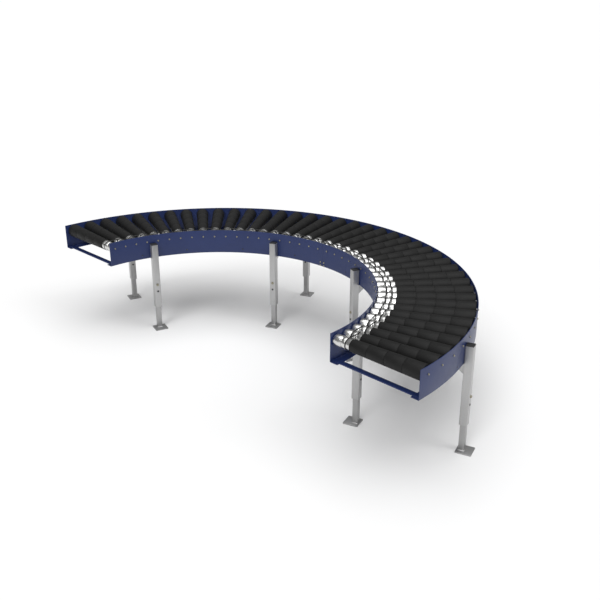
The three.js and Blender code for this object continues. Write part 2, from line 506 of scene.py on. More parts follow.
def keep(
    name: str, mesh: bpy.types.Mesh, body: str, replaces: Sequence[str] = ()
) -> bpy.types.Object:
    """Makes a finished piece of a mesh that is already in its place.

    Args:
        name: Name of the piece.
        mesh: Its mesh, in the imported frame.
        body: The body that it moves with.
        replaces: The nodes that it stands for.

    Returns:
        The piece.
    """
    mesh.name = name
    piece = linked(name, mesh)
    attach(piece, body)
    if replaces:
        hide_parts(*replaces)
    LOG.info("%s: %d faces on %s", name, len(mesh.polygons), body)
    return piece


# ---------------------------------------------------------------------------------------------
# Node trees
# ---------------------------------------------------------------------------------------------


class Signal:
    """An output socket that takes part in sums and products."""

    def __init__(self, maker: "TreeMaker", socket: bpy.types.NodeSocket) -> None:
        """Wraps a socket of a tree."""
        self.maker = maker
        self.socket = socket

    def _math(self, operation: str, first: object, second: object) -> "Signal":
        """A Math node on two values or signals."""
        return self.maker.signal("ShaderNodeMath", {"operation": operation}, {0: first, 1: second})

    def __add__(self, other: object) -> "Signal":
        """The sum."""
        return self._math("ADD", self, other)

    __radd__ = __add__

    def __mul__(self, other: object) -> "Signal":
        """The product."""
        return self._math("MULTIPLY", self, other)

    __rmul__ = __mul__

    def __sub__(self, other: object) -> "Signal":
        """The difference."""
        return self._math("SUBTRACT", self, other)

    def __rsub__(self, other: object) -> "Signal":
        """The difference, the other way round."""
        return self._math("SUBTRACT", other, self)

    def __truediv__(self, other: object) -> "Signal":
        """The quotient."""
        return self._math("DIVIDE", self, other)

    def sine(self) -> "Signal":
        """The sine."""
        return self._math("SINE", self, 0.0)

    def cosine(self) -> "Signal":
        """The cosine."""
        return self._math("COSINE", self, 0.0)


class TreeMaker:
    """Adds nodes to a node tree."""

    def __init__(self, tree: bpy.types.NodeTree) -> None:
        """Starts on a tree."""
        self.tree = tree

    def node(
        self, kind: str, settings: dict | None = None, sockets: dict | None = None
    ) -> bpy.types.Node:
        """Adds a node.

        Args:
            kind: The node's type.
            settings: Its own settings, set first; "stops" are a ramp's (place, colour) pairs.
            sockets: Values or signals for its inputs, by name or number.

        Returns:
            The node.
        """
        made = self.tree.nodes.new(kind)
        for key, value in (settings or {}).items():
            if key == "stops":
                for i, (place, colour) in enumerate(value):
                    ramp = made.color_ramp.elements
                    stop = ramp[i] if i < 2 else ramp.new(place)
                    stop.position = place
                    stop.color = (*colour, 1.0)
            else:
                setattr(made, key, value)
        for key, value in (sockets or {}).items():
            if isinstance(value, Signal):
                self.tree.links.new(value.socket, made.inputs[key])
            else:
                made.inputs[key].default_value = value
        return made

    def signal(
        self,
        kind: str,
        settings: dict | None = None,
        sockets: dict | None = None,
        output: int | str = 0,
    ) -> Signal:
        """Adds a node and gives one of its outputs as a signal."""
        return Signal(self, self.node(kind, settings, sockets).outputs[output])


class CurveTree(TreeMaker):
    """A geometry tree with named inputs, for pieces along the curve."""

    def __init__(self, name: str, inputs: dict[str, str]) -> None:
        """Starts a tree.

        Args:
            name: The tree's name.
            inputs: The kind of each input socket by name, besides the geometry.
        """
        super().__init__(bpy.data.node_groups.new(name, "GeometryNodeTree"))
        face = self.tree.interface
        face.new_socket("Geometry", in_out="INPUT", socket_type="NodeSocketGeometry")
        for label, kind in inputs.items():
            face.new_socket(label, in_out="INPUT", socket_type="NodeSocket" + kind)
        face.new_socket("Geometry", in_out="OUTPUT", socket_type="NodeSocketGeometry")
        self.entry = self.tree.nodes.new("NodeGroupInput")

    def given(self, label: str) -> Signal:
        """The signal of a named input."""
        return Signal(self, self.entry.outputs[label])

    def end(self, geometry: Signal, finish: Signal) -> None:
        """Ends the tree with the finish on a geometry.

        Args:
            geometry: What leaves the tree.
            finish: The material it gets.
        """
        done = self.signal(
            "GeometryNodeSetMaterial", {}, {"Geometry": geometry, "Material": finish}
        )
        out = self.tree.nodes.new("NodeGroupOutput")
        self.tree.links.new(done.socket, out.inputs[0])

    def on_curve(self, angle: Signal, radius: Signal, height: Signal) -> Signal:
        """A place on the curve.

        Args:
            angle: Its angle along the curve.
            radius: Its distance from the curve's centre.
            height: Its height.

        Returns:
            The place, as a vector.
        """
        east = 0.0 - angle.cosine() * radius
        north = angle.sine() * radius
        flat = self.signal("ShaderNodeCombineXYZ", {}, {0: east, 1: north, 2: height})
        return self.signal(
            "ShaderNodeVectorMath", {"operation": "ADD"}, {0: flat, 1: self.given("Centre")}
        )

    def run(self, mesh: bpy.types.Mesh, **values: object) -> bpy.types.Mesh:
        """Evaluates the tree on a mesh.

        Args:
            mesh: The mesh that enters the tree.
            **values: The inputs, by their names in lower case with underscores.

        Returns:
            The plain mesh that leaves the tree.
        """
        keys = {
            item.name.lower().replace(" ", "_"): item.identifier
            for item in self.tree.interface.items_tree
            if item.in_out == "INPUT"
        }

        def add(carrier: bpy.types.Object) -> None:
            """Adds the tree and sets its inputs.

            Args:
                carrier: The object that carries the mesh.
            """
            modifier = carrier.modifiers.new("tree", "NODES")
            modifier.node_group = self.tree
            for key, value in values.items():
                modifier[keys[key]] = value

        return with_modifiers(mesh, add)


class CopiesAlongCurve(CurveTree):
    """Copies of a part at even angles along the curve."""

    def __init__(self) -> None:
        """Builds the tree."""
        super().__init__(
            "copies along the curve",
            {
                "Centre": "Vector", "Count": "Int", "First Angle": "Float", "Step Angle": "Float",
                "Radius": "Float", "Height": "Float", "Turn": "Float", "Finish": "Material",
            },
        )
        index = self.signal("GeometryNodeInputIndex")
        angle = self.given("First Angle") + index * self.given("Step Angle")
        points = self.signal(
            "GeometryNodeMeshLine", {"mode": "OFFSET", "count_mode": "TOTAL"},
            {"Count": self.given("Count"), "Offset": (0.0, 0.0, 0.0)},
        )
        places = self.signal(
            "GeometryNodeSetPosition", {},
            {
                "Geometry": points,
                "Position": self.on_curve(angle, self.given("Radius"), self.given("Height")),
            },
        )
        bearing = self.given("Turn") + (math.pi - angle)
        facing = self.signal("ShaderNodeCombineXYZ", {}, {2: bearing})
        copies = self.signal(
            "GeometryNodeInstanceOnPoints", {},
            {
                "Points": places, "Instance": self.given("Geometry"),
                "Rotation": self.signal("FunctionNodeEulerToRotation", {}, {0: facing}),
            },
        )
        real = self.signal("GeometryNodeRealizeInstances", {}, {"Geometry": copies})
        self.end(real, self.given("Finish"))


class BentBar(CurveTree):
    """A straight punched bar, bent to the curve. Its length is measured on the bending radius."""

    def __init__(self) -> None:
        """Builds the tree."""
        super().__init__(
            "bent bar",
            {
                "Punches": "Object", "Centre": "Vector", "First Angle": "Float",
                "Radius": "Float", "Finish": "Material",
            },
        )
        punches = self.signal(
            "GeometryNodeObjectInfo", {}, {"Object": self.given("Punches")}, "Geometry"
        )
        punched = self.signal(
            "GeometryNodeMeshBoolean", {"operation": "DIFFERENCE", "solver": "EXACT"},
            {"Mesh 1": self.given("Geometry"), "Mesh 2": punches}, "Mesh",
        )
        place = self.node(
            "ShaderNodeSeparateXYZ", {}, {0: self.signal("GeometryNodeInputPosition")}
        )
        length, offset, height = (Signal(self, socket) for socket in place.outputs)
        angle = self.given("First Angle") + length / self.given("Radius")
        bent = self.signal(
            "GeometryNodeSetPosition", {},
            {
                "Geometry": punched,
                "Position": self.on_curve(angle, self.given("Radius") + offset, height),
            },
        )
        real = self.signal("GeometryNodeRealizeInstances", {}, {"Geometry": bent})
        self.end(real, self.given("Finish"))


class RoundBelts(CurveTree):
    """Round cord along closed loops of edges."""

    def __init__(self) -> None:
        """Builds the tree."""
        super().__init__(
            "round belts", {"Belt Radius": "Float", "Sides": "Int", "Finish": "Material"}
        )
        loops = self.signal("GeometryNodeMeshToCurve", {}, {"Mesh": self.given("Geometry")})
        section = self.signal(
            "GeometryNodeCurvePrimitiveCircle", {"mode": "RADIUS"},
            {"Resolution": self.given("Sides"), "Radius": self.given("Belt Radius")},
        )
        cord = self.signal(
            "GeometryNodeCurveToMesh", {}, {"Curve": loops, "Profile Curve": section}
        )
        real = self.signal("GeometryNodeRealizeInstances", {}, {"Geometry": cord})
        self.end(real, self.given("Finish"))


# ---------------------------------------------------------------------------------------------
# Finishes
# ---------------------------------------------------------------------------------------------


class MaterialMaker(TreeMaker):
    """Builds one material."""

    def __init__(self, name: str) -> None:
        """Starts an empty material.

        Args:
            name: The material's name.
        """
        self.material = bpy.data.materials.new(name)
        self.material.use_nodes = True
        self.material.node_tree.nodes.clear()
        super().__init__(self.material.node_tree)
        self.place = self.signal("ShaderNodeTexCoord", output="Object")

    def noise(self, scale: float, detail: float = 2.0, stretch: Colour = (1, 1, 1)) -> Signal:
        """Noise on the object's own coordinates.

        Args:
            scale: Features per metre.
            detail: Octaves.
            stretch: Share of the scale along each axis.

        Returns:
            The noise, from 0 to 1.
        """
        spot = self.signal("ShaderNodeMapping", {}, {"Vector": self.place, "Scale": stretch})
        return self.signal(
            "ShaderNodeTexNoise", {}, {"Vector": spot, "Scale": scale, "Detail": detail}
        )

    def along(self) -> Signal:
        """The length along the piece's own axis."""
        return self.signal("ShaderNodeAttribute", {"attribute_name": "along"}, output="Fac")

    def mixed(self, share: Signal, dark: Colour, light: Colour) -> Signal:
        """A colour between two.

        Args:
            share: Share of the lighter one.
            dark: The darker colour.
            light: The lighter colour.

        Returns:
            The colour.
        """
        return self.signal(
            "ShaderNodeMix", {"data_type": "RGBA"}, {0: share, 6: (*dark, 1), 7: (*light, 1)}, 2
        )

    def stretched(self, value: Signal, low: float, high: float) -> Signal:
        """A signal from low to high, as 0 to 1 and no further.

        Args:
            value: The signal.
            low: What becomes 0.
            high: What becomes 1.

        Returns:
            The new signal.
        """
        return self.signal(
            "ShaderNodeMapRange", {"clamp": True},
            {"Value": value, "From Min": low, "From Max": high},
        )

    def bump(self, height: Signal, depth: float, strength: float = 1.0) -> Signal:
        """A bumped normal.

        Args:
            height: Relief from 0 to 1.
            depth: The relief's height in metres.
            strength: Share of the effect.

        Returns:
            The normal.
        """
        return self.signal(
            "ShaderNodeBump", {}, {"Height": height, "Distance": depth, "Strength": strength}
        )

    def finish(self, **sockets: object) -> bpy.types.Material:
        """Ends the material with a Principled shader.

        Args:
            **sockets: Its inputs, by name in lower case with underscores.

        Returns:
            The material.
        """
        named = {
            key.replace("_", " ").title().replace("Ior", "IOR"): value
            for key, value in sockets.items()
        }
        shader = self.signal("ShaderNodeBsdfPrincipled", {}, named)
        out = self.tree.nodes.new("ShaderNodeOutputMaterial")
        self.tree.links.new(shader.socket, out.inputs["Surface"])
        return self.material


def shaded(colour: Colour, share: float) -> Colour:
    """A colour made darker or lighter by a share."""
    return tuple(min(1.0, channel * share) for channel in colour)


@dataclass(frozen=True)
class PowderCoat:
    """Sprayed and baked paint with a light orange peel."""

    name: str
    colour: Colour
    roughness: float
    cloud_scale: float = 7.0
    gloss_scale: float = 23.0
    peel_scale: float = 420.0
    peel_depth: float = 0.00012

    def build(self) -> bpy.types.Material:
        """Builds the finish.

        Returns:
            The paint's material.
        """
        maker = MaterialMaker(self.name)
        cloud = maker.noise(self.cloud_scale, 3.0)
        peel = maker.noise(self.peel_scale, 2.0)
        colour = maker.mixed(cloud, shaded(self.colour, 0.88), shaded(self.colour, 1.14))
        return maker.finish(
            base_color=colour,
            roughness=self.roughness + (maker.noise(self.gloss_scale, 4.0) - 0.5) * 0.14,
            normal=maker.bump(peel, self.peel_depth, 0.35),
            specular_ior_level=0.4,
        )


@dataclass(frozen=True)
class MouldedSleeve:
    """Moulded roller sleeve with fine turned rings and handling dust."""

    name: str
    colour: Colour
    roughness: float
    ring_pitch: float = 0.0016
    grain_scale: float = 900.0
    dust_scale: float = 16.0
    relief: float = 0.00007

    def build(self) -> bpy.types.Material:
        """Builds the finish.

        Returns:
            The sleeve's material.
        """
        maker = MaterialMaker(self.name)
        rings = (maker.along() * (2 * math.pi / self.ring_pitch)).sine() * 0.5 + 0.5
        grain = maker.noise(self.grain_scale, 2.0)
        dust = maker.stretched(maker.noise(self.dust_scale, 4.0), 0.45, 0.75)
        colour = maker.mixed(
            dust * 0.5 + rings * 0.25, shaded(self.colour, 0.85), shaded(self.colour, 1.3)
        )
        return maker.finish(
            base_color=colour,
            roughness=self.roughness + dust * 0.1 + (grain - 0.5) * 0.06,
            normal=maker.bump(rings * 0.6 + grain * 0.4, self.relief, 0.5),
            specular_ior_level=0.22,
        )


@dataclass(frozen=True)
class RolledZinc:
    """Bright zinc on a rolled tube: turned lines and a slightly uneven gloss."""

    name: str
    colour: Colour
    roughness: float
    line_scale: float = 900.0
    tarnish_scale: float = 38.0
    relief: float = 0.00003

    def build(self) -> bpy.types.Material:
        """Builds the finish.

        Returns:
            The tube's material.
        """
        maker = MaterialMaker(self.name)
        spot = maker.signal("ShaderNodeCombineXYZ", {}, {0: maker.along()})
        lines = maker.signal(
            "ShaderNodeTexNoise", {}, {"Vector": spot, "Scale": self.line_scale, "Detail": 3.0}
        )
        tarnish = maker.noise(self.tarnish_scale, 4.0)
        colour = maker.mixed(tarnish, shaded(self.colour, 0.82), shaded(self.colour, 1.06))
        return maker.finish(
            base_color=colour,
            metallic=1.0,
            roughness=self.roughness + (lines - 0.5) * 0.16 + (tarnish - 0.5) * 0.1,
            normal=maker.bump(lines, self.relief, 0.4),
        )


@dataclass(frozen=True)
class HotDipZinc:
    """Galvanised steel: a faint spangle, drawn lines along Z and a dull bloom."""

    name: str
    colour: Colour
    roughness: float
    spangle_scale: float = 160.0
    drawn_scale: float = 260.0
    bloom_scale: float = 12.0
    relief: float = 0.00004

    def build(self) -> bpy.types.Material:
        """Builds the finish.

        Returns:
            The galvanised material.
        """
        maker = MaterialMaker(self.name)
        cells = maker.signal(
            "ShaderNodeTexVoronoi", {"feature": "F1"},
            {"Vector": maker.place, "Scale": self.spangle_scale}, "Color",
        )
        tone = maker.signal("ShaderNodeSeparateXYZ", {}, {0: cells})
        drawn = maker.noise(self.drawn_scale, 2.0, (1.0, 1.0, 0.03))
        bloom = maker.noise(self.bloom_scale, 4.0)
        share = tone * 0.1 + bloom * 0.5 + drawn * 0.4
        colour = maker.mixed(share, shaded(self.colour, 0.86), shaded(self.colour, 1.12))
        return maker.finish(
            base_color=colour,
            metallic=0.7,
            roughness=self.roughness + (tone - 0.5) * 0.05 + (bloom - 0.5) * 0.12,
            normal=maker.bump(drawn * 0.9 + tone * 0.1, self.relief, 0.35),
        )


@dataclass(frozen=True)
class PlatedFastener:
    """Yellowish zinc plate on small screws."""

    name: str
    colour: Colour
    roughness: float

    def build(self) -> bpy.types.Material:
        """Builds the finish.

        Returns:
            The plate's material.
        """
        maker = MaterialMaker(self.name)
        tint = maker.noise(140.0, 3.0)
        colour = maker.mixed(tint, shaded(self.colour, 0.75), shaded(self.colour, 1.2))
        return maker.finish(
            base_color=colour,
            metallic=0.9,
            roughness=self.roughness + (tint - 0.5) * 0.2,
            normal=maker.bump(maker.noise(1500.0), 0.00002, 0.3),
        )


@dataclass(frozen=True)
class BlackPolymer:
    """Black rubber or moulded plastic with a fine grain."""

    name: str
    colour: Colour
    roughness: float
    grain_scale: float = 1400.0

    def build(self) -> bpy.types.Material:
        """Builds the finish.

        Returns:
            The polymer's material.
        """
        maker = MaterialMaker(self.name)
        grain = maker.noise(self.grain_scale, 2.0)
        scuff = maker.stretched(maker.noise(60.0, 4.0), 0.55, 0.8)
        colour = maker.mixed(scuff, self.colour, shaded(self.colour, 1.8))
        return maker.finish(
            base_color=colour,
            roughness=self.roughness + scuff * 0.12,
            normal=maker.bump(grain, 0.00004, 0.4),
            specular_ior_level=0.45,
        )


@dataclass(frozen=True)
class Finishes:
    """The conveyor's materials."""

    paint: bpy.types.Material
    sleeve: bpy.types.Material
    tube: bpy.types.Material
    post: bpy.types.Material
    foot: bpy.types.Material
    fastener: bpy.types.Material
    belt: bpy.types.Material
    plastic: bpy.types.Material

    @classmethod
    def build(cls) -> "Finishes":
        """Builds every finish once.

        Returns:
            All of the conveyor's materials.
        """
        return cls(
            paint=PowderCoat("navy_powder_coat", (0.016, 0.030, 0.112), 0.38).build(),
            sleeve=MouldedSleeve("black_moulded_sleeve", (0.010, 0.010, 0.010), 0.55).build(),
            tube=RolledZinc("bright_rolled_zinc", (0.70, 0.70, 0.69), 0.26).build(),
            post=HotDipZinc("galvanised_post", (0.45, 0.45, 0.45), 0.36).build(),
            foot=HotDipZinc("galvanised_foot", (0.40, 0.40, 0.40), 0.40).build(),
            fastener=PlatedFastener("yellow_zinc_plate", (0.32, 0.30, 0.23), 0.42).build(),
            belt=BlackPolymer("black_round_belt", (0.012, 0.012, 0.012), 0.38).build(),
            plastic=BlackPolymer("black_moulded_plastic", (0.016, 0.016, 0.017), 0.52).build(),
        )


# ---------------------------------------------------------------------------------------------
# Sub-assemblies
# ---------------------------------------------------------------------------------------------


@dataclass
class Workshop:
    """What every sub-assembly is built with."""

    layout: Layout
    finishes: Finishes
    copies: CopiesAlongCurve
    bent: BentBar
    belts: RoundBelts

    def copied(
        self,
        part: bpy.types.Mesh,
        material: bpy.types.Material,
        radius: float,
        height: float,
        first: float,
        step: float = 0.0,
        count: int = 1,
        turn: float = 0.0,
    ) -> bpy.types.Mesh:
        """Copies of a part along the curve.

        Args:
            part: The part, made at the origin with +X away from the curve's centre.
            material: Its finish.
            radius: Distance of each copy's origin from the curve's centre.
            height: Height of each copy's origin.
            first: Angle of the first copy.
            step: Angle from one copy to the next.
            count: Number of copies.
            turn: Angle about Z that each copy is turned further by.

        Returns:
            One mesh with all copies in their places.
        """
        return self.copies.run(
            part, centre=self.layout.centre, count=count, first_angle=first, step_angle=step,
            radius=radius, height=height, turn=turn, finish=material,
        )


@dataclass
class SideRails:
    """The four curved rails, their cross bars, splice plates and punched holes."""

    shop: Workshop
    sheet: float = 0.003
    flange: float = 0.046
    bend: float = 0.0045
    edge: float = 0.0009
    steps: int = 120
    seam: float = 0.0003
    hole_stations: tuple[int, ...] = (3, 7, 12, 17)
    hole_radius: float = 0.005
    hole_lift: float = 0.026
    hole_sides: int = 20
    plug_radius: float = 0.0048
    plug_length: float = 0.0022
    bar_width: float = 0.030
    bar_thickness: float = 0.005
    bar_setback: float = 0.010
    bar_joint_setback: float = 0.030
    bar_clearance: float = 0.0012
    splice_length: float = 0.050
    splice_height: float = 0.052
    splice_sheet: float = 0.004
    splice_lift: float = 0.001

    def web_radius(self, side: Side) -> float:
        """The radius of a web's face that is turned away from the rollers."""
        layout = self.shop.layout
        return layout.inner_radius if side is Side.INNER else layout.outer_radius

    def section_outline(self, side: Side) -> Outline:
        """The rail's angle section: x away from the web's outside face, y the height.

        Args:
            side: The side of the lane.

        Returns:
            The section's outline.
        """
        layout = self.shop.layout
        low, high = layout.rail_bottom, layout.rail_top
        sheet, edge = self.sheet, self.edge
        corners = [
            (0, low, self.bend),
            (self.flange, low, edge),
            (self.flange, low + sheet, edge),
            (sheet, low + sheet, self.bend - sheet + 0.001),
            (sheet, high, edge),
            (0, high, edge),
        ]
        outline = rounded(corners, 3)
        return [(x * side.value, y) for x, y in outline]

    def straight_bar(self, side: Side, section: int, length: float) -> bpy.types.Mesh:
        """The rail before it is bent: its length along X, the web's thickness along Y.

        Args:
            side: The side of the lane.
            section: Number of the section.
            length: Length of the bar.

        Returns:
            The bar's mesh.
        """
        outline = self.section_outline(side)
        loops = [
            [Vector((length * i / self.steps, x, z)) for x, z in outline]
            for i in range(self.steps + 1)
        ]
        return Shell().loft(loops).mesh(f"straight_{side.label}_{section}", 35)

    def punches(self, side: Side, section: int, start: float) -> bpy.types.Object:
        """The punches for a rail's holes, in the straight bar's frame.

        Args:
            side: The side of the lane.
            section: Number of the section.
            start: Angle of the bar's start.

        Returns:
            One object with every punch.
        """
        layout = self.shop.layout
        radius = self.web_radius(side)
        shell = Shell()
        for pitches in self.hole_stations:
            along = (layout.station(section, pitches) - start) * radius
            first = len(shell.points)
            shell.prism(
                polygon(self.hole_radius, self.hole_sides), -4 * self.sheet, 4 * self.sheet
            )
            spot = Vector((along, 0, layout.rail_bottom + self.hole_lift))
            shell.placed(Matrix.Translation(spot) @ Matrix.Rotation(math.pi / 2, 4, "X"), first)
        return linked("punches", shell.mesh("punches"))

    def rail(self, side: Side, section: int) -> bpy.types.Mesh:
        """One bent and punched rail.

        Args:
            side: The side of the lane.
            section: Number of the section.

        Returns:
            The rail's mesh.
        """
        shop, layout = self.shop, self.shop.layout
        radius = self.web_radius(side)
        gap = self.seam / radius
        start = section * layout.section_angle + (gap if section > 0 else 0)
        end = (section + 1) * layout.section_angle - (gap if section < layout.sections - 1 else 0)
        bar = self.straight_bar(side, section, (end - start) * radius)
        tool = self.punches(side, section, start)
        made = shop.bent.run(
            bar, punches=tool, centre=layout.centre, first_angle=start, radius=radius,
            finish=shop.finishes.paint,
        )
        bpy.data.objects.remove(tool)
        face_outward(made)
        shade(made, 35)
        return made

    def cross_bar(self, angle: float, along: float) -> Shell:
        """A flat bar on both flanges.

        Args:
            angle: The angle that the bar is square to.
            along: Distance of the bar's middle past it.

        Returns:
            The bar.
        """
        layout = self.shop.layout
        low = layout.rail_bottom + self.sheet + self.seam
        start = layout.inner_radius + self.sheet + self.bar_clearance
        end = layout.outer_radius - self.sheet - self.bar_clearance
        half = self.bar_width / 2
        outline = [
            (start, -along - half),
            (end, -along - half),
            (end, -along + half),
            (start, -along + half),
        ]
        return Shell().prism(outline, low, low + self.bar_thickness).placed(layout.place(angle))

    def plugs(self) -> bpy.types.Mesh:
        """Blanking plugs in the holes, sunk a little below the outside face.

        Returns:
            One mesh with every plug.
        """
        shop, layout = self.shop, self.shop.layout
        half, radius = self.plug_length / 2, self.plug_radius
        plug = Shell().turned([(-half, radius), (half, radius)], self.hole_sides).mesh("plug")
        height = layout.rail_bottom + self.hole_lift
        angles = [
            layout.station(section, pitches)
            for section in range(layout.sections)
            for pitches in self.hole_stations
        ]
        copies = []
        for side in Side:
            middle = self.web_radius(side) + side.value * self.sheet / 2
            for angle in angles:
                copies.append(shop.copied(plug, shop.finishes.plastic, middle, height, angle))
        return joined(copies, "hole_plugs")

    def bar_places(self) -> list[tuple[float, float]]:
        """The places of the cross bars.

        Returns:
            An angle, and the distance past it, for each bar.
        """
        layout = self.shop.layout
        free = self.bar_setback + self.bar_width / 2
        joint = self.bar_joint_setback + self.bar_width / 2
        places = []
        for section in range(layout.sections):
            start = section * layout.section_angle
            end = start + layout.section_angle
            places.append((start, free if section == 0 else joint))
            places.append((start + layout.section_angle / 2, 0.0))
            places.append((end, -free if section == layout.sections - 1 else -joint))
        return places

    def splice(self, side: Side) -> Shell:
        """The flat plate that joins two sections' webs, on their roller side.

        Args:
            side: The side of the lane.

        Returns:
            The plate.
        """
        layout = self.shop.layout
        half = self.splice_length / 2
        face = self.web_radius(side) + side.value * self.sheet
        fall = 0 if side is Side.INNER else half * half / (2 * face)
        near = face + side.value * (self.seam + fall)
        far = near + side.value * self.splice_sheet
        low = layout.rail_bottom + self.sheet + self.splice_lift
        outline = [(near, -half), (far, -half), (far, half), (near, half)]
        shell = Shell().prism(outline, low, low + self.splice_height)
        return shell.placed(layout.place(layout.section_angle))

    def build(self) -> None:
        """Builds and dresses the rails, bars and plates."""
        paint = self.shop.finishes.paint
        for side in Side:
            for section in range(self.shop.layout.sections):
                node = f"{side.label}_rail_{section + 1}"
                mesh = dressed(self.rail(side, section), paint)
                keep(f"{node}_sheet", mesh, ROOT_BODY, [node])
        bars = [self.cross_bar(angle, along).mesh("bar") for angle, along in self.bar_places()]
        mesh = dressed(eased(joined(bars, "cross_bars"), 0.0008), paint)
        keep("cross_bars", mesh, ROOT_BODY)
        plates = [self.splice(side).mesh("plate") for side in Side]
        mesh = dressed(eased(joined(plates, "splice_plates"), 0.0006), paint)
        keep("splice_plates", mesh, ROOT_BODY)
        keep("hole_plugs", self.plugs(), ROOT_BODY)


@dataclass
class Rollers:
    """Forty grooved tubes, each with four tapered sleeves."""

    shop: Workshop
    sides: int = 40
    web: float = 0.003
    start_gap: float = 0.005
    end_gap: float = 0.008
    tube_radius: float = 0.0285
    bore: float = 0.0069
    rim: float = 0.0240
    dish: float = 0.0030
    dish_step: float = 0.0012
    hub: float = 0.0042
    hub_edge: float = 0.0036
    lip: float = 0.0018
    lip_round: float = 0.0016
    chamfer: float = 0.0005
    groove_places: tuple[float, float] = (0.048, 0.076)
    groove_depth: float = 0.0045
    groove_half: float = 0.0055
    groove_steps: int = 8
    sleeve_first: float = 0.100
    sleeve_count: int = 4
    sleeve_small: float = 0.0305
    sleeve_edge: float = 0.0010
    seam_width: float = 0.0012
    seam_depth: float = 0.0030
    core_radius: float = 0.0268
    core_clearance: float = 0.0003

    @property
    def start(self) -> float:
        """The radius on the curve where the tubes start."""
        return self.shop.layout.inner_radius + self.web + self.start_gap

    @property
    def end(self) -> float:
        """The radius on the curve where the tubes end."""
        return self.shop.layout.outer_radius - self.web - self.end_gap

    @property
    def groove_radii(self) -> tuple[float, float]:
        """The radii on the curve of both belt grooves."""
        web = self.shop.layout.inner_radius + self.web
        return web + self.groove_places[0], web + self.groove_places[1]

    def groove(self, middle: float) -> Outline:
        """A rolled groove.

        Args:
            middle: Radius on the curve of the groove's middle.

        Returns:
            Its points (place on the axis, radius).
        """
        points = []
        for i in range(self.groove_steps + 1):
            share = 2 * i / self.groove_steps - 1
            depth = self.groove_depth * (0.5 + 0.5 * math.cos(math.pi * share))
            points.append((middle + share * self.groove_half, self.tube_radius - depth))
        return points

    def tube(self) -> bpy.types.Mesh:
        """The tube with its dished bearing seats, open along the axle.

        Returns:
            The tube's mesh, with the axle along X.
        """
        start, end = self.start, self.end
        covered = self.shop.layout.inner_radius + self.web + self.sleeve_first
        steel = [
            (start + self.lip_round, self.rim + 0.0006),
            (start + 0.0003, self.rim + self.lip),
            (start, self.tube_radius - self.lip_round),
            (start + self.chamfer, self.tube_radius - self.chamfer),
            (start + self.lip, self.tube_radius),
        ]
        for radius in self.groove_radii:
            steel.extend(self.groove(radius))
        steel.extend(
            [
                (covered - self.core_clearance, self.tube_radius),
                (covered - self.core_clearance, self.core_radius),
                (end - 0.0006, self.core_radius),
                (end, self.core_radius - 0.0008),
                (end - self.dish_step, self.rim + 0.0002),
            ]
        )
        seat = [
            (end - self.dish, self.rim - self.dish_step),
            (end - self.dish, self.bore + self.hub),
            (end - self.dish + self.dish_step, self.bore + self.hub_edge),
            (end - self.dish + self.dish_step, self.bore),
            (start + self.dish - self.dish_step, self.bore),
            (start + self.dish - self.dish_step, self.bore + self.hub_edge),
            (start + self.dish, self.bore + self.hub),
            (start + self.dish, self.rim - 0.0008),
        ]
        return Shell().ring(steel + seat, self.sides).mesh("tube", 30)

    def sleeves(self) -> bpy.types.Mesh:
        """The tapered sleeves in a row, open along the tube, with a narrow seam between each two.

        Returns:
            The sleeves' mesh, with the axle along X.
        """
        layout = self.shop.layout
        first, last = layout.inner_radius + self.web + self.sleeve_first, self.end
        large = layout.rail_top - layout.axle_height
        slope = (large - self.sleeve_small) / (last - first)
        length = (last - first) / self.sleeve_count
        edge, half = self.sleeve_edge, self.seam_width / 2
        inside = self.core_radius + self.core_clearance
        outline = [(first, inside)]
        for i in range(self.sleeve_count):
            low = first + i * length + (half if i else 0)
            high = first + (i + 1) * length - (half if i < self.sleeve_count - 1 else 0)
            r_low = self.sleeve_small + (low - first) * slope
            r_high = self.sleeve_small + (high - first) * slope
            if i > 0:
                outline.append((low, r_low - self.seam_depth))
            outline.extend(
                [
                    (low, r_low - edge),
                    (low + 0.3 * edge, r_low - 0.3 * edge),
                    (low + edge, r_low),
                    (high - edge, r_high - edge * slope),
                    (high - 0.3 * edge, r_high - 0.3 * edge),
                    (high, r_high - edge),
                ]
            )
            if i < self.sleeve_count - 1:
                outline.append((high, r_high - self.seam_depth))
        outline.append((last, inside))
        return Shell().ring(outline, self.sides).mesh("sleeves", 40)

    def build(self) -> None:
        """Builds every roller, one tube piece and one sleeve piece on each body."""
        shop, layout = self.shop, self.shop.layout
        tube, sleeves = self.tube(), self.sleeves()
        for i, node in enumerate(layout.rollers):
            angle = layout.roller_angle(i)
            for part, label, material, slot, stands_for in (
                (tube, "tube", shop.finishes.tube, Slot.TUBE, ()),
                (sleeves, "sleeves", shop.finishes.sleeve, Slot.SLEEVE, (node,)),
            ):
                mesh = shop.copied(part, material, 0.0, layout.axle_height, angle)
                keep(f"{node}_{label}", mesh, node, stands_for)


